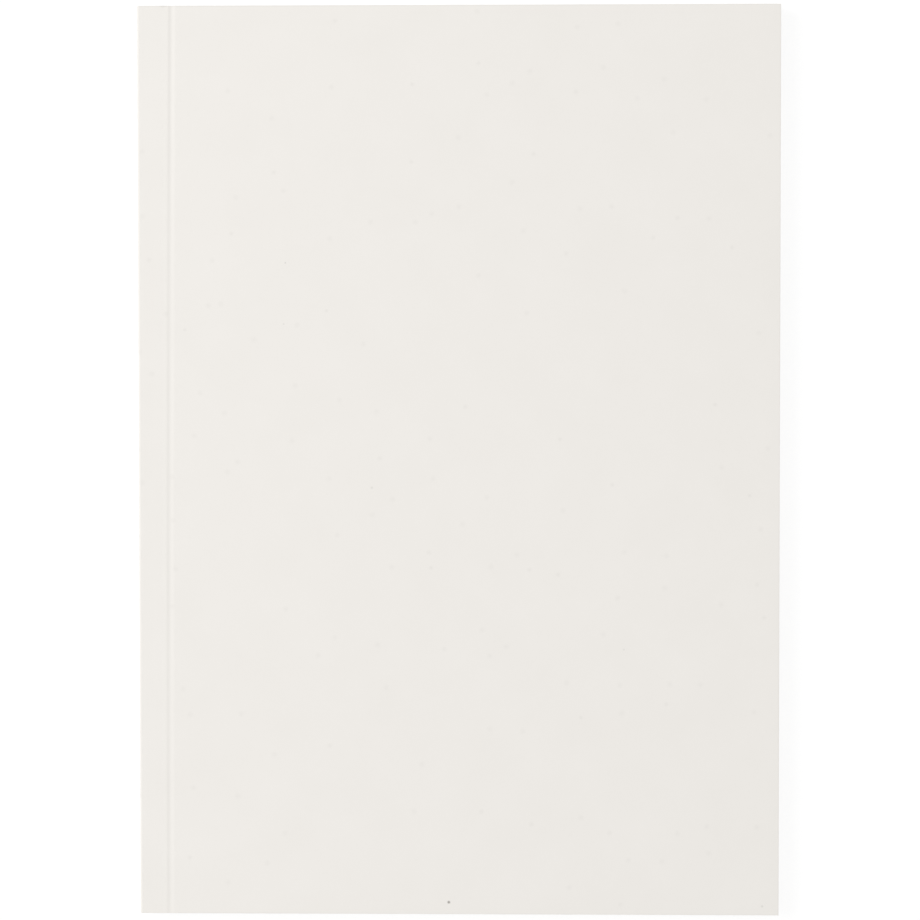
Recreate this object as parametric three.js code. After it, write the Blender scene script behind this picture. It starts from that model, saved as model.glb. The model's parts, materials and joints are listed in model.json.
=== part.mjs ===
import * as THREE from 'three';

// A5 softcover notebook, perfect bound, lying closed on its back cover.
// Millimetres. +Z is up, +Y runs to the head of the page, and the spine is on the -X side.
// The origin is the middle of the footprint, on the surface the notebook lies on.

// Driving dimensions
const pageWidth = 148; // spine face to fore edge; cover and leaves are trimmed flush
const pageHeight = 210; // tail to head
const leafCount = 48;
const leafThickness = 0.12; // writing paper of about 100 g/m2
const coverThickness = 0.3; // card of about 250 g/m2
const creaseInset = 7; // spine face to the middle of the scored crease
const creaseWidth = 0.3; // width of the score, where the card bends
const spineGlueThickness = 0.35; // hot-melt layer that holds the leaves' bound edges
const sideGlueThickness = 0.06; // film that holds each hinge strip to the outermost leaf
const sideGlueSetback = 0.8; // the film stops this far short of the crease
const spineBendRadius = 0.45; // outside radius where the card turns round the spine
const spineBendSegments = 4;

// Clearances
const faceGap = 0.01; // between faces that lie on one another

// Heights, from the surface up
const sideGlueSpace = sideGlueThickness + 2 * faceGap;
const leafPitch = leafThickness + faceGap;
const blockBottom = coverThickness + sideGlueSpace;
const blockThickness = leafCount * leafPitch - faceGap;
const blockTop = blockBottom + blockThickness;
const frontCoverBottom = blockTop + sideGlueSpace;
const notebookThickness = frontCoverBottom + coverThickness;

// Distances from the spine face
const stripEdge = creaseInset - creaseWidth / 2;
const panelEdge = creaseInset + creaseWidth / 2;
const spineGlueEdge = coverThickness + faceGap;
const marginEdge = spineGlueEdge + spineGlueThickness + faceGap;

const card = { color: 0xeeebe5, roughness: 0.62, metalness: 0 };
const paper = { color: 0xf6f3ea, roughness: 0.85, metalness: 0 };
const glue = { color: 0xe9e2cf, roughness: 0.45, metalness: 0 };

const notebook = new THREE.Group();

// Puts one piece in the notebook. Shapes are drawn from the spine face,
// which lies half a page width to the left of the origin.
function addPiece(name, geometry, finish) {
  const mesh = new THREE.Mesh(geometry, new THREE.MeshStandardMaterial(finish));
  mesh.name = name;
  mesh.position.x = -pageWidth / 2;
  notebook.add(mesh);
}

// A flat sheet or film of the full page height between two distances from the spine face.
function sheet(fromSpine, toSpine, bottom, thickness) {
  const width = toSpine - fromSpine;
  const geometry = new THREE.BoxGeometry(width, pageHeight, thickness);
  geometry.translate(fromSpine + width / 2, 0, bottom + thickness / 2);
  return geometry;
}

// The part of the cover card that never moves: back hinge strip, spine and front hinge strip,
// bent round the block as one channel that opens towards the fore edge.
function coverWrap() {
  const profile = new THREE.Shape();
  const radius = spineBendRadius;
  const top = notebookThickness;
  profile.moveTo(stripEdge, coverThickness);
  profile.lineTo(coverThickness, coverThickness);
  profile.lineTo(coverThickness, frontCoverBottom);
  profile.lineTo(stripEdge, frontCoverBottom);
  profile.lineTo(stripEdge, top);
  profile.lineTo(radius, top);
  profile.absarc(radius, top - radius, radius, Math.PI / 2, Math.PI, false);
  profile.lineTo(0, radius);
  profile.absarc(radius, radius, radius, Math.PI, 1.5 * Math.PI, false);
  profile.lineTo(stripEdge, 0);
  const geometry = new THREE.ExtrudeGeometry(profile, {
    depth: pageHeight,
    bevelEnabled: false,
    curveSegments: spineBendSegments,
  });
  // The profile is drawn in X and Y, so it is stood up to run along the page height.
  geometry.rotateX(Math.PI / 2);
  geometry.translate(0, pageHeight / 2, 0);
  return geometry;
}

// Cover card, scored at the two creases
addPiece('cover_spine_wrap', coverWrap(), card);
addPiece('back_cover', sheet(panelEdge, pageWidth, 0, coverThickness), card);
addPiece('front_cover', sheet(panelEdge, pageWidth, frontCoverBottom, coverThickness), card);

// Binding: the leaves' margins as the glue holds them, the hot melt behind them,
// and the two films of side glue under the hinge strips
const sideGlueEnd = stripEdge - sideGlueSetback;
const backFilmBottom = coverThickness + faceGap;
const frontFilmBottom = blockTop + faceGap;
addPiece('bound_leaf_margins', sheet(marginEdge, stripEdge, blockBottom, blockThickness), paper);
addPiece('spine_glue', sheet(spineGlueEdge, marginEdge - faceGap, blockBottom, blockThickness), glue);
addPiece('side_glue_back', sheet(marginEdge, sideGlueEnd, backFilmBottom, sideGlueThickness), glue);
addPiece('side_glue_front', sheet(marginEdge, sideGlueEnd, frontFilmBottom, sideGlueThickness), glue);

// Leaves from the crease to the fore edge, numbered from the front cover down
for (let leaf = 1; leaf <= leafCount; leaf += 1) {
  const bottom = blockTop - leaf * leafPitch + faceGap;
  const number = String(leaf).padStart(2, '0');
  addPiece(`leaf_${number}`, sheet(panelEdge, pageWidth, bottom, leafThickness), paper);
}

export default notebook;
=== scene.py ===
import json
import math
import random

import bmesh
import bpy
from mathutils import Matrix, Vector, noise


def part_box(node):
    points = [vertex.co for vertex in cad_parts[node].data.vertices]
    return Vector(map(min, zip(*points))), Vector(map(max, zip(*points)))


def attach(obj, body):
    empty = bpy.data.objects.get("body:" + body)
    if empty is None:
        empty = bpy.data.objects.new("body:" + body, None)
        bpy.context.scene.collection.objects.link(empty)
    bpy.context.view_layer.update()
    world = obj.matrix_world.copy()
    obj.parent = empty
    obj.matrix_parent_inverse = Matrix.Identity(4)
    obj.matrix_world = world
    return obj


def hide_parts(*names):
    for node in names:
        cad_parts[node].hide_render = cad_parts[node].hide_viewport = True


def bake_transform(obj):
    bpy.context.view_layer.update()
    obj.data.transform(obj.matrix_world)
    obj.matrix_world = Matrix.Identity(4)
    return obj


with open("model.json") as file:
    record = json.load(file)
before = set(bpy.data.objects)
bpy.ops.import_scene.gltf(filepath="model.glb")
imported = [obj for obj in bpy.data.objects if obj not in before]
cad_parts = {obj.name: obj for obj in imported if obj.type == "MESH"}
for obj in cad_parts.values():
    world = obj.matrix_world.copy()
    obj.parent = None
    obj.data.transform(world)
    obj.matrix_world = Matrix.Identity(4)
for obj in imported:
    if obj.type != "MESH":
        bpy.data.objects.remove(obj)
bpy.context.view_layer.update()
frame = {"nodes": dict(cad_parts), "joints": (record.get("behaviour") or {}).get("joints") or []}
mm = 0.001
trifle = 0.01 * mm  # places nearer than this count as the same

# Widths, heights and the hinge are read from the frame, so every sheet lies where its solid does
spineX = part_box("cover_spine_wrap")[0].x
frontLow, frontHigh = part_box("front_cover")
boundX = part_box("bound_leaf_margins")[0].x  # where the leaves meet the spine glue
glueLow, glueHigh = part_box("spine_glue")
hinge = next(joint for joint in frame["joints"] if joint["name"] == "front_cover_hinge")
creaseX = hinge["pos_m"][0]
foreX = frontHigh.x
tailY, headY = frontLow.y, frontHigh.y
topZ = frontHigh.z
cardThickness = frontHigh.z - frontLow.z
leafNodes = sorted(name for name in frame["nodes"] if name.startswith("leaf_"))
chance = random.Random(48)


# Materials

def addNode(tree, kind, inputs=None, **settings):
    node = tree.nodes.new(kind)
    for name, value in settings.items():
        setattr(node, name, value)
    for name, value in (inputs or {}).items():
        if isinstance(value, bpy.types.NodeSocket):
            tree.links.new(value, node.inputs[name])
        else:
            node.inputs[name].default_value = value
    return node


# Mix has a set of sockets for each kind of data, all with the same names, so they go by number
def mixColors(tree, share, first, second):
    sockets = {0: share, 6: first, 7: second}
    return addNode(tree, "ShaderNodeMix", sockets, data_type="RGBA").outputs[2]


def mixVectors(tree, share, first, second):
    sockets = {0: share, 4: first, 5: second}
    return addNode(tree, "ShaderNodeMix", sockets, data_type="VECTOR").outputs[1]


def mixValues(tree, share, first, second):
    return addNode(tree, "ShaderNodeMix", {0: share, 2: first, 3: second}).outputs[0]


def remap(tree, value, fromLow, fromHigh, toLow, toHigh):
    sockets = {0: value, 1: fromLow, 2: fromHigh, 3: toLow, 4: toHigh}
    return addNode(tree, "ShaderNodeMapRange", sockets).outputs[0]


# Noise hardly leaves the middle of its range, so that middle is spread from one end to the other
def spread(tree, value, toLow=0.0, toHigh=1.0):
    return remap(tree, value, 0.3, 0.7, toLow, toHigh)


def calculate(tree, operation, first, second):
    return addNode(tree, "ShaderNodeMath", {0: first, 1: second}, operation=operation).outputs[0]


def readMark(tree, name):
    return addNode(tree, "ShaderNodeAttribute", attribute_name=name).outputs["Fac"]


def startMaterial(name):
    material = bpy.data.materials.new(name)
    material.use_nodes = True
    material.node_tree.nodes.clear()
    return material, material.node_tree


# The fibre of card and paper: a felted tooth, the slow cloudiness of pulp, and stray flecks.
# The place is in metres, so the scales are per metre.
fibreInputs = ["Tooth Scale", "Cloud Scale", "Fleck Scale", "Fleck Share"]
fibreShape = {
    "strandTurn": 0.5,  # radians
    "strandStretch": (1, 0.22, 1),
    "strandShare": 0.45,
    "raggedness": 0.00018,
    "gatherScale": 14,
    "gatherNoise": (0.35, 0.65),
    "gatherShare": (0.3, 1.7),  # from where flecks are few to where they gather
    "rarity": 4,  # the higher, the fewer dark ones
    "fleckReach": (0.08, 0.05),  # from the many faint ones, wide and soft, to the few dark ones
    "fleckStrength": (0.049, 0.092),
    "fleckCore": 0.2,
}


def makeFibreGroup(shape):
    group = bpy.data.node_groups.new("paperFibre", "ShaderNodeTree")
    group.interface.new_socket("Place", in_out="INPUT", socket_type="NodeSocketVector")
    for name in fibreInputs:
        group.interface.new_socket(name, in_out="INPUT", socket_type="NodeSocketFloat")
    for name in ["Tooth", "Cloud", "Flecks"]:
        group.interface.new_socket(name, in_out="OUTPUT", socket_type="NodeSocketFloat")
    given = addNode(group, "NodeGroupInput").outputs
    place = given["Place"]

    feltLook = {"Vector": place, "Scale": given["Tooth Scale"], "Detail": 3, "Roughness": 0.6}
    felt = addNode(group, "ShaderNodeTexNoise", feltLook).outputs
    turn = (0, 0, shape["strandTurn"])
    drawnLook = {"Vector": place, "Rotation": turn, "Scale": shape["strandStretch"]}
    drawn = addNode(group, "ShaderNodeMapping", drawnLook).outputs[0]
    strandLook = {"Vector": drawn, "Scale": given["Tooth Scale"], "Detail": 2, "Distortion": 1.6}
    strands = addNode(group, "ShaderNodeTexNoise", strandLook).outputs[0]
    tooth = mixValues(group, shape["strandShare"], felt[0], strands)
    cloudLook = {"Vector": place, "Scale": given["Cloud Scale"], "Detail": 3, "Roughness": 0.55}
    cloud = addNode(group, "ShaderNodeTexNoise", cloudLook).outputs[0]

    # A cell holds one fleck at most, and only a share of the cells has one
    ragged = mixVectors(group, shape["raggedness"], place, felt["Color"])
    cellLook = {"Vector": ragged, "Scale": given["Fleck Scale"]}
    cell = addNode(group, "ShaderNodeTexVoronoi", cellLook, voronoi_dimensions="2D").outputs
    dice = addNode(group, "ShaderNodeSeparateColor", {0: cell["Color"]}).outputs
    coarseLook = {"Vector": place, "Scale": shape["gatherScale"], "Detail": 1}
    coarse = addNode(group, "ShaderNodeTexNoise", coarseLook).outputs[0]
    gathered = remap(group, coarse, *shape["gatherNoise"], *shape["gatherShare"])
    likely = calculate(group, "MULTIPLY", given["Fleck Share"], gathered)
    chosen = calculate(group, "LESS_THAN", dice[0], likely)
    rarely = calculate(group, "POWER", dice[2], shape["rarity"])
    reach = remap(group, rarely, 0, 1, *shape["fleckReach"])
    nearness = calculate(group, "DIVIDE", cell["Distance"], reach)
    spot = remap(group, nearness, shape["fleckCore"], 1, 1, 0)
    strength = remap(group, rarely, 0, 1, *shape["fleckStrength"])
    faded = calculate(group, "MULTIPLY", spot, strength)
    flecks = calculate(group, "MULTIPLY", faded, chosen)
    addNode(group, "NodeGroupOutput", {"Tooth": tooth, "Cloud": cloud, "Flecks": flecks})
    return group


fibreGroup = makeFibreGroup(fibreShape)


# Adds the strays to the flecks. Each is fully dark in its core and fades out to its half width.
def addStrays(tree, place, flecks, strays):
    core = 0.3
    for x, y, halfWidth, darkness in strays:
        sockets = {0: place, 1: (x * mm, y * mm, 0)}
        gap = addNode(tree, "ShaderNodeVectorMath", sockets, operation="DISTANCE").outputs["Value"]
        stray = remap(tree, gap, core * halfWidth * mm, halfWidth * mm, darkness, 0)
        flecks = calculate(tree, "MAXIMUM", flecks, stray)
    return flecks


# Card and leaf paper are the same stuff and differ in their numbers
def sheetFinish(name, look):
    material, tree = startMaterial(name)
    place = addNode(tree, "ShaderNodeUVMap", uv_map="sheet").outputs[0]
    fibreLook = {"Place": place} | {socket: look[socket] for socket in fibreInputs}
    fibre = addNode(tree, "ShaderNodeGroup", fibreLook, node_tree=fibreGroup).outputs
    tooth, cloud = fibre["Tooth"], fibre["Cloud"]

    shade = mixValues(tree, look["toothShare"], spread(tree, cloud), spread(tree, tooth))
    base = mixColors(tree, shade, (*look["dark"], 1), (*look["light"], 1))
    # Specks and strays darken towards the fleck colour; one stray on the card is a spot of painted shade
    specksAndShadeSpot = addStrays(tree, place, fibre["Flecks"], look["strays"])
    # Darker towards the fleck colour within half a millimetre of the trimmed edges, unevenly along them
    edgeDarkening = spread(tree, cloud, 0.5 * look["edgeDarkShare"], 1.5 * look["edgeDarkShare"])
    edgeDarkened = calculate(tree, "MULTIPLY", readMark(tree, "edgeDark"), edgeDarkening)
    marked = mixColors(tree, calculate(tree, "MAXIMUM", specksAndShadeSpot, edgeDarkened), base, (*look["fleck"], 1))
    # Trimmed faces take the edge colour: on the card its own edge tone, on the leaves a darker colour,
    # painted shade between the close-packed leaves
    cutShare = calculate(tree, "MULTIPLY", readMark(tree, "cut"), spread(tree, cloud, 0.5, 1))
    trimmed = mixColors(tree, cutShare, marked, (*look["cutEdgeToneAndShade"], 1))

    rough = spread(tree, tooth, *look["rough"])
    relief = {"Height": tooth, "Strength": look["toothStrength"], "Distance": look["toothDepth"]}
    bump = addNode(tree, "ShaderNodeBump", relief).outputs[0]
    skin = {"Base Color": trimmed, "Roughness": rough, "Normal": bump, "Specular IOR Level": look["gloss"]}
    surface = addNode(tree, "ShaderNodeBsdfPrincipled", skin).outputs[0]
    addNode(tree, "ShaderNodeOutputMaterial", {"Surface": surface})
    return material


cardLook = {
    "light": (0.871, 0.8445, 0.8055),
    "dark": (0.855, 0.8285, 0.7875),
    "fleck": (0.36, 0.34, 0.31),
    "cutEdgeToneAndShade": (0.875, 0.84, 0.785),
    "edgeDarkShare": 0.047,
    "toothShare": 0.3,
    "rough": (0.56, 0.68),
    "gloss": 0.35,
    "toothStrength": 0.12,
    "toothDepth": 0.015 * mm,
    "Tooth Scale": 5200,
    "Cloud Scale": 75,
    "Fleck Scale": 90,
    "Fleck Share": 0.55,
    # Bits of bark and dust in the front panel, and last a dark spot at the head of the crease, painted
    # shade
    # of the small gap there: X, Y and half width in mm, and how dark
    "strays": [
        (-2.3, -102.2, 0.45, 1),
        (-39.9, 45.9, 0.27, 0.3),
        (-20.0, -6.0, 0.42, 0.17),
        (70.2, -102.9, 0.4, 0.22),
        (-40.3, 31.8, 0.25, 0.21),
        (38.2, -43.4, 0.3, 0.18),
        # painted shade of the small gap at the head of the crease
        (-68.0, 106.44, 1.94, 0.75),
    ],
}
pageLook = {
    "light": (0.885, 0.862, 0.800),
    "dark": (0.860, 0.835, 0.770),
    "fleck": (0.62, 0.60, 0.55),
    # darker than the leaf: painted shade between the leaves at their trimmed edges
    "cutEdgeToneAndShade": (0.76, 0.71, 0.62),
    "edgeDarkShare": 0.02,
    "toothShare": 0.3,
    "rough": (0.78, 0.88),
    "gloss": 0.3,
    "toothStrength": 0.25,
    "toothDepth": 0.012 * mm,
    "Tooth Scale": 6000,
    "Cloud Scale": 45,
    "Fleck Scale": 60,
    "Fleck Share": 0.12,
    "strays": [],
}
cardMaterial = sheetFinish("coverCard", cardLook)
pageMaterial = sheetFinish("leafPaper", pageLook)

glueLook = {
    "light": (0.83, 0.79, 0.67),
    "dark": (0.72, 0.67, 0.53),
    "rough": (0.36, 0.55),
    "lumpScale": 900,
    "lumpStrength": 0.5,
    "lumpDepth": 0.03 * mm,
}


# Hot melt that has set: slightly glossy, uneven, darker where its lumps are low
def glueFinish(look):
    material, tree = startMaterial("bindingGlue")
    place = addNode(tree, "ShaderNodeTexCoord").outputs["Object"]
    lumpLook = {"Vector": place, "Scale": look["lumpScale"], "Detail": 2}
    lumps = addNode(tree, "ShaderNodeTexNoise", lumpLook).outputs[0]
    base = mixColors(tree, spread(tree, lumps), (*look["dark"], 1), (*look["light"], 1))
    rough = spread(tree, lumps, *look["rough"])
    relief = {"Height": lumps, "Strength": look["lumpStrength"], "Distance": look["lumpDepth"]}
    bump = addNode(tree, "ShaderNodeBump", relief).outputs[0]
    skin = {"Base Color": base, "Roughness": rough, "Normal": bump}
    surface = addNode(tree, "ShaderNodeBsdfPrincipled", skin).outputs[0]
    addNode(tree, "ShaderNodeOutputMaterial", {"Surface": surface})
    return material


glueMaterial = glueFinish(glueLook)
print("materials made")


# Sheets: what card and leaves have in common
sheetShape = {
    "cutTurn": math.radians(60),  # an edge that turns more than this was left by the knife
    "smoothTurn": math.radians(15),  # an edge that turns less than this is part of a smooth bend
    "cutFacing": 0.3,  # how squarely a trimmed face looks out of the sheet, at least
    "edgeDarkReach": 0.5 * mm,
}


# Draws a line through points in X and Z at the tail and pulls it along Y, with a stop at each row
def pullSheet(line, stops):
    bm = bmesh.new()
    end = bm.verts.new((line[0][0], stops[0], line[0][1]))
    for x, z in line[1:]:
        made = bmesh.ops.extrude_vert_indiv(bm, verts=[end])["verts"]
        bmesh.ops.translate(bm, verts=made, vec=Vector((x, stops[0], z)) - end.co)
        end = made[0]
    edges = bm.edges[:]
    for before, after in zip(stops, stops[1:]):
        made = bmesh.ops.extrude_edge_only(bm, edges=edges)["geom"]
        corners = {part for part in made if isinstance(part, bmesh.types.BMVert)}
        bmesh.ops.translate(bm, verts=list(corners), vec=(0, after - before, 0))
        drawn = [part for part in made if isinstance(part, bmesh.types.BMEdge)]
        edges = [edge for edge in drawn if corners.issuperset(edge.verts)]
    return bm


# Gives the sheet its thickness below its outer face
def thicken(bm, thickness):
    far = max(bm.faces, key=lambda face: face.calc_center_median().x)
    far.normal_update()
    if far.normal.z < 0:
        bmesh.ops.reverse_faces(bm, faces=bm.faces[:])
    bmesh.ops.solidify(bm, geom=bm.faces[:], thickness=thickness)


# Rounds the edges that the knife left, where a free end of the sheet has them
def roundCuts(bm, isFree, size, segments):
    bm.normal_update()
    sharp = [edge for edge in bm.edges if edge.calc_face_angle(0) > sheetShape["cutTurn"]]
    cuts = [edge for edge in sharp if any(isFree(vert.co) for vert in edge.verts)]
    bmesh.ops.bevel(
        bm, geom=cuts, offset=size, offset_type="OFFSET", segments=segments,
        profile=0.5, affect="EDGES", material=-1,
    )


# How far a place on a sheet lies from the nearest of its three trimmed edges
def edgeMargin(co):
    return min(co.y - tailY, headY - co.y, foreX - co.x)


# Keeps the corners of the cut edges crisp and the bends smooth, lays the fibre along the sheet,
# and marks the trimmed edges for their own colour, which on the leaves is painted shade between them
def finishSheet(name, bm, unroll, material, cutTone):
    facing, edgeDarkReach = sheetShape["cutFacing"], sheetShape["edgeDarkReach"]
    bmesh.ops.recalc_face_normals(bm, faces=bm.faces[:])
    layer = bm.loops.layers.uv.new("sheet")
    cutMark = bm.faces.layers.float.new("cut")
    edgeDarkMark = bm.verts.layers.float.new("edgeDark")
    # 1 at a trimmed edge, falling to 0 half a millimetre in; the finish darkens the sheet there
    for vert in bm.verts:
        vert[edgeDarkMark] = max(0, 1 - edgeMargin(vert.co) / edgeDarkReach)
    for face in bm.faces:
        face.smooth = True
        atEnds = abs(face.normal.y) > facing
        atFore = face.normal.x > facing and face.calc_center_median().x > foreX - mm
        face[cutMark] = cutTone if atEnds or atFore else 0
        for loop in face.loops:
            loop[layer].uv = unroll(loop.vert.co)
    for edge in bm.edges:
        edge.smooth = edge.calc_face_angle(0) < sheetShape["smoothTurn"]
    mesh = bpy.data.meshes.new(name)
    bm.to_mesh(mesh)
    bm.free()
    mesh.materials.append(material)
    piece = bpy.data.objects.new(name, mesh)
    bpy.context.scene.collection.objects.link(piece)
    return piece


# Cover card: front panel, scored crease, hinge strip and half of the spine, then the same again
# for the back. The two halves meet unseen in the middle of the spine.
coverShape = {
    "bendRadius": 0.45 * mm,
    "bendSteps": 10,
    "bendExit": 0.2 * mm,
    "pressZone": 8 * mm,
    "grooveReach": (0.8 * mm, 1.1 * mm),  # towards the spine and towards the fore edge
    "grooveDepth": 0.08 * mm,
    "grooveUneven": 0.3,
    "grooveWaves": (45, 40),  # per metre along the crease and across it
    "grooveHead": (0.4, 6),  # how much deeper it is at the head, and how suddenly
    "grooveBacking": 0.07 * mm,  # how far the inner face gives way before the leaves stop it
    "lipPlace": -1.05 * mm,
    "lipReach": 0.7 * mm,
    "frontLip": 0.012 * mm,
    "backLip": 0,  # pressed flat by the table
    # How far the press strayed from the hinge line: at mid page, slanting, and bowed
    "frontRun": (0.26 * mm, 0.5 * mm, 0.2 * mm),
    "backRun": (0.1 * mm, -0.2 * mm, 0.05 * mm),
    "runReach": 4 * mm,
    "foldWidth": 1.5 * mm,
    "rim": 0.05 * mm,
    "cutTone": 0.5,
    "droop": 0.05 * mm,
    "droopReach": 4 * mm,
    "droopStops": (0, 0.12, 0.3, 0.5, 0.75),
    "freeFrom": 8 * mm,  # how far from the crease the panel is free to droop
    "spineSwell": 0.03 * mm,
    "swellWaves": (70, 200, 3),  # per metre along the spine and up it, and a seed
    "rows": 24,
}


# The outer face of the front half, from the middle of the spine to the fore edge
def coverLine(shape):
    radius = shape["bendRadius"]
    middleZ, bendZ = topZ / 2, topZ - radius
    line = [(spineX, middleZ + (bendZ - middleZ) * share) for share in (0, 0.25, 0.5, 0.75, 0.94, 1)]
    for step in range(1, shape["bendSteps"] + 1):
        turn = math.pi / 2 * step / shape["bendSteps"]
        line.append((spineX + radius * (1 - math.cos(turn)), topZ - radius * (1 - math.sin(turn))))
    line.append((spineX + radius + shape["bendExit"], topZ))

    # Points are close together across the groove and at the edge that droops
    lipStops = [step * 0.15 for step in range(-15, -6)]
    grooveStops = [step * 0.1 for step in range(-9, 16)]
    creaseStops = [-4.8, -3.2, *lipStops, *grooveStops, 2.4, 3.6, 4.8]
    line += [(creaseX + offset * mm, topZ) for offset in creaseStops]
    line += [(creaseX + (foreX - creaseX) * share, topZ) for share in (0.1, 0.25, 0.5, 0.75)]
    edgeStops = (1, *reversed(shape["droopStops"]))
    line += [(foreX - shape["droopReach"] * share, topZ) for share in edgeStops]
    return line


# Rows along the page, closer together at head and tail, where the card droops
def coverStops(shape):
    near = [shape["droopReach"] * share for share in shape["droopStops"]]
    low, high = tailY + shape["droopReach"], headY - shape["droopReach"]
    between = [low + (high - low) * row / shape["rows"] for row in range(shape["rows"] + 1)]
    return [tailY + step for step in near] + between + [headY - step for step in reversed(near)]


# A smooth hump, 1 in the middle and 0 from its reach outwards
def hump(away, reach):
    return (1 + math.cos(math.pi * min(1, abs(away) / reach))) / 2


# Presses the crease into the outer face, which leaves a low lip on the spine side
def scoreCard(bm, shape, run, lip):
    near, far = shape["grooveReach"]
    wavesAlong, wavesAcross = shape["grooveWaves"]
    headShare, headPower = shape["grooveHead"]
    shift, slant, bow = run
    for vert in bm.verts:
        away = vert.co.x - creaseX
        if vert.co.z < topZ - trifle or abs(away) > shape["pressZone"]:
            continue
        along = vert.co.y / headY
        wander = noise.noise(Vector((vert.co.y * wavesAlong, away * wavesAcross, slant)))
        uneven = 1 + shape["grooveUneven"] * wander
        uneven += headShare * max(0, along) ** headPower
        vert.co.z -= shape["grooveDepth"] * uneven * hump(away, near if away < 0 else far)
        vert.co.z += lip * hump(away - shape["lipPlace"], shape["lipReach"])
        hold = max(0, 1 - max(0, abs(away) - far) / shape["runReach"])
        vert.co.x += (shift + slant * along + bow * along ** 2) * hold


# Lets the trimmed edges of the panel sink towards the leaves, and the glue swell the spine a little
def settleCard(bm, shape):
    wavesAlong, wavesUp, seed = shape["swellWaves"]
    for vert in bm.verts:
        x, y, z = vert.co
        if x > creaseX:
            free = min(1, (x - creaseX) / shape["freeFrom"])
            nearEdge = max(0, 1 - edgeMargin(vert.co) / shape["droopReach"])
            vert.co.z -= shape["droop"] * free * nearEdge ** 2
        elif abs(x - spineX) < 0.1 * trifle:  # the flat of the spine, between its bends
            uneven = 0.5 + 0.5 * noise.noise(Vector((y * wavesAlong, z * wavesUp, seed)))
            vert.co.x -= shape["spineSwell"] * uneven * hump(z - topZ / 2, topZ / 2 - shape["bendRadius"])


# The leaves behind the crease hold the card up, so a deep press thins it there
def backCrease(bm, shape):
    lowest = topZ - cardThickness - shape["grooveBacking"]
    for vert in bm.verts:
        if abs(vert.co.x - creaseX) < shape["runReach"]:
            vert.co.z = max(vert.co.z, lowest)


def makeCover(name, shape, isFront):
    side = "front" if isFront else "back"
    bm = pullSheet(coverLine(shape), coverStops(shape))
    scoreCard(bm, shape, shape[side + "Run"], shape[side + "Lip"])
    settleCard(bm, shape)
    thicken(bm, cardThickness)
    backCrease(bm, shape)
    roundCuts(bm, lambda co: abs(co.z - topZ / 2) > trifle, shape["rim"], 2)
    if not isFront:  # the back half is the front half turned over
        bmesh.ops.scale(bm, verts=bm.verts[:], vec=(1, 1, -1))
        bmesh.ops.translate(bm, verts=bm.verts[:], vec=(0, 0, topZ))

    # The fibre runs on round the spine from one half to the other
    def unroll(co):
        return (co.x - (topZ - co.z), co.y) if isFront else (2 * spineX - topZ - co.x + co.z, co.y)

    body = "front_cover" if isFront else "back_cover"
    piece = finishSheet(name, bm, unroll, cardMaterial, shape["cutTone"])
    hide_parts(body, "cover_spine_wrap")
    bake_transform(piece)
    return piece


makeCover("cover_front_card", coverShape, True)
makeCover("cover_back_card", coverShape, False)
print("cover card made")


# Leaves: each runs from the spine glue through the bound margin to the fore edge. The deeper a
# leaf lies, the wider the band beyond the crease where its points lie close together.
pageShape = {
    "bendTop": 2.5 * mm,
    "bendDeep": 5.5 * mm,
    "bendSteps": 16,
    "trimUneven": 0.07 * mm,
    "cutBevel": (0.012 * mm, 0.04 * mm),
    # how strongly each leaf's trimmed edge takes the darker edge colour, which is painted shade
    "cutTone": (0.1, 0.9),
    "patternStep": 0.37,  # each leaf has its own stretch of the fibre pattern
}


def makePage(number, node, shape):
    low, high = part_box(node)
    depth = (number - 1) / (len(leafNodes) - 1)
    bend = shape["bendTop"] + (shape["bendDeep"] - shape["bendTop"]) * depth
    fore = high.x - chance.uniform(0, shape["trimUneven"])
    tail = low.y + chance.uniform(0, shape["trimUneven"])
    head = high.y - chance.uniform(0, shape["trimUneven"])
    cutBevel = chance.uniform(*shape["cutBevel"])
    cutTone = chance.uniform(*shape["cutTone"])
    line = [(boundX, high.z)]
    line += [(creaseX + bend * step / shape["bendSteps"], high.z) for step in range(shape["bendSteps"] + 1)]
    line += [(creaseX + (fore - creaseX) * share, high.z) for share in (0.4, 0.7, 1)]
    bm = pullSheet(line, [tail, head])
    thicken(bm, high.z - low.z)
    roundCuts(bm, lambda co: co.x > boundX + mm, cutBevel, 1)

    def unroll(co):
        return (co.x + co.z - high.z, co.y + number * shape["patternStep"])

    page = finishSheet(f"page_{number:02d}", bm, unroll, pageMaterial, cutTone)
    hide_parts(node, "bound_leaf_margins")
    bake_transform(page)
    return page


for number, node in enumerate(leafNodes, 1):
    makePage(number, node, pageShape)
print(len(leafNodes), "leaves made")


# Binding glue: the bead behind the leaves stops a little short of head and tail and is lumpy there
glueShape = {
    "rows": 60,
    "layers": 8,
    "shortfall": 0.12 * mm,
    "lumpWaves": 1500,  # per metre
}


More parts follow.
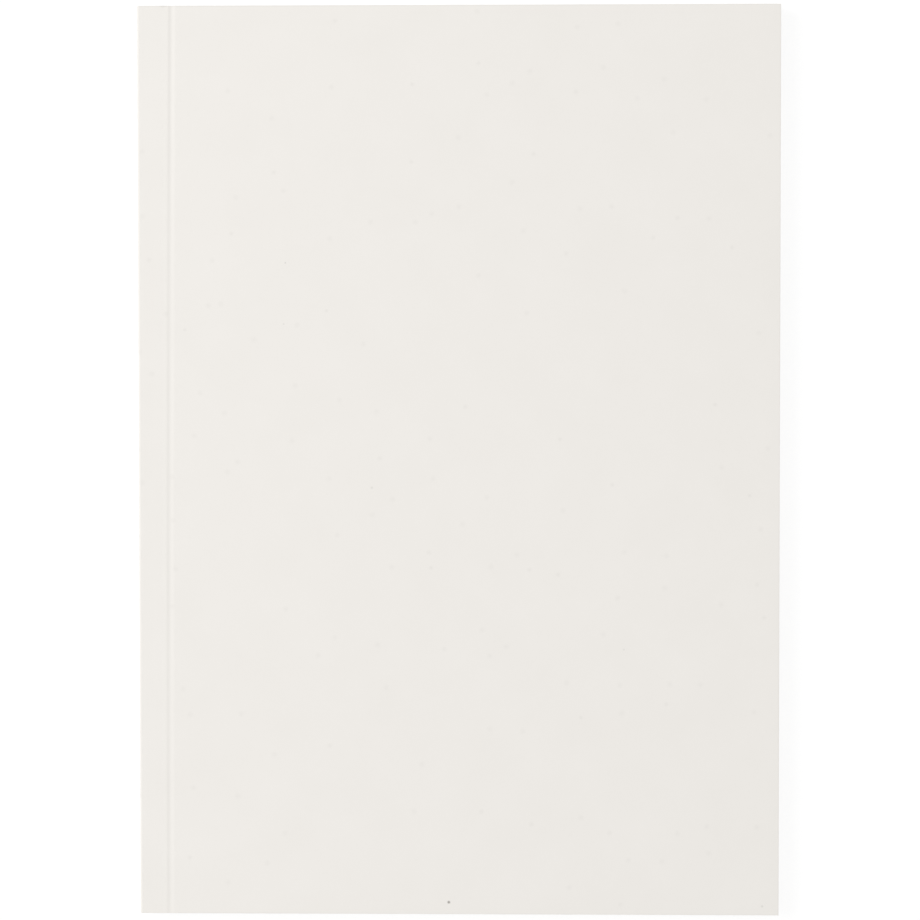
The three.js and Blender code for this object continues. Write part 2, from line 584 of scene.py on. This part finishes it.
def makeGlueBead(shape):
    bm = bmesh.new()
    bmesh.ops.create_cube(bm, size=1)
    bmesh.ops.scale(bm, verts=bm.verts[:], vec=glueHigh - glueLow)
    bmesh.ops.translate(bm, verts=bm.verts[:], vec=(glueHigh + glueLow) / 2)
    upright = [edge for edge in bm.edges if abs(edge.verts[0].co.z - edge.verts[1].co.z) > mm]
    bmesh.ops.subdivide_edges(bm, edges=upright, cuts=shape["layers"], use_grid_fill=True)
    lengthwise = [edge for edge in bm.edges if abs(edge.verts[0].co.y - edge.verts[1].co.y) > mm]
    bmesh.ops.subdivide_edges(bm, edges=lengthwise, cuts=shape["rows"], use_grid_fill=True)
    for vert in bm.verts:
        if abs(vert.co.y) > headY - trifle:
            uneven = 0.5 + abs(noise.noise(vert.co * shape["lumpWaves"]))
            vert.co.y *= 1 - shape["shortfall"] * uneven / headY
    bmesh.ops.recalc_face_normals(bm, faces=bm.faces[:])
    mesh = bpy.data.meshes.new("spine_glue_bead")
    bm.to_mesh(mesh)
    bm.free()
    mesh.materials.append(glueMaterial)
    bead = bpy.data.objects.new("spine_glue_bead", mesh)
    bpy.context.scene.collection.objects.link(bead)
    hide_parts("spine_glue")
    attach(bead, "binding")
    return bead


makeGlueBead(glueShape)
for node in ("side_glue_front", "side_glue_back"):
    film = frame["nodes"][node]
    film.data.materials.clear()
    film.data.materials.append(glueMaterial)
print("binding glue made")


# Studio: a white floor, soft daylight from the upper left and a camera straight above
studio = {
    "floorSize": 6,
    "floorDrop": trifle,
    "floorColor": (0.92, 0.92, 0.92),
    "floorWhite": 1.06,
    "whiteShare": 0.83,  # the rest of the floor shows the light and the shadow on it
    "ambient": 0.63,
    "lampPower": 19.3,
    "lampSize": 1.1,
    "lampDistance": 2.0,
    "lampElevation": 50,
    "lampAzimuth": 162,
    "cameraPlace": (0.01712, 0.02378, 0.7),
    "cameraTurn": (-1.931, 1.384, -0.033),
    "lens": 117.62,
}


# 1 for what the camera sees, straight or in a gloss, and 0 for the light that falls on things
def seenMask(tree):
    path = addNode(tree, "ShaderNodeLightPath").outputs
    either = calculate(tree, "MAXIMUM", path["Is Camera Ray"], path["Is Glossy Ray"])
    return calculate(tree, "MAXIMUM", either, path["Is Transmission Ray"])


def makeFloor():
    bm = bmesh.new()
    bmesh.ops.create_grid(bm, x_segments=1, y_segments=1, size=studio["floorSize"] / 2)
    bmesh.ops.translate(bm, verts=bm.verts[:], vec=(0, 0, -studio["floorDrop"]))
    mesh = bpy.data.meshes.new("floor")
    bm.to_mesh(mesh)
    bm.free()
    material, tree = startMaterial("floorWhite")
    share = calculate(tree, "MULTIPLY", seenMask(tree), studio["whiteShare"])
    plain = addNode(tree, "ShaderNodeBsdfDiffuse", {"Color": (*studio["floorColor"], 1)}).outputs[0]
    white = addNode(tree, "ShaderNodeEmission", {"Strength": studio["floorWhite"]}).outputs[0]
    mixed = addNode(tree, "ShaderNodeMixShader", {0: share, 1: plain, 2: white}).outputs[0]
    addNode(tree, "ShaderNodeOutputMaterial", {"Surface": mixed})
    mesh.materials.append(material)
    floor = bpy.data.objects.new("floor", mesh)
    bpy.context.scene.collection.objects.link(floor)


def makeWorld():
    world = bpy.data.worlds.new("studioWhite")
    world.use_nodes = True
    tree = world.node_tree
    tree.nodes.clear()
    strength = remap(tree, seenMask(tree), 0, 1, studio["ambient"], 1)
    back = addNode(tree, "ShaderNodeBackground", {"Color": (1, 1, 1, 1), "Strength": strength})
    addNode(tree, "ShaderNodeOutputWorld", {"Surface": back.outputs[0]})
    bpy.context.scene.world = world


def makeLamp():
    lamp = bpy.data.lights.new("windowLight", "AREA")
    lamp.shape = "DISK"
    lamp.size = studio["lampSize"]
    lamp.energy = studio["lampPower"]
    around, up = math.radians(studio["lampAzimuth"]), math.radians(studio["lampElevation"])
    away = Vector((math.cos(around) * math.cos(up), math.sin(around) * math.cos(up), math.sin(up)))
    holder = bpy.data.objects.new("windowLight", lamp)
    holder.location = away * studio["lampDistance"]
    holder.rotation_euler = away.to_track_quat("Z", "Y").to_euler()
    bpy.context.scene.collection.objects.link(holder)


def makeCamera():
    data = bpy.data.cameras.new("topView")
    data.lens = studio["lens"]
    data.sensor_width = 36
    data.clip_start, data.clip_end = 0.01, 20
    camera = bpy.data.objects.new("topView", data)
    camera.location = studio["cameraPlace"]
    camera.rotation_euler = [math.radians(turn) for turn in studio["cameraTurn"]]
    bpy.context.scene.collection.objects.link(camera)
    bpy.context.scene.camera = camera


makeFloor()
makeWorld()
makeLamp()
makeCamera()
bpy.context.scene.view_settings.view_transform = "Standard"
print("studio made")

bpy.context.view_layer.update()
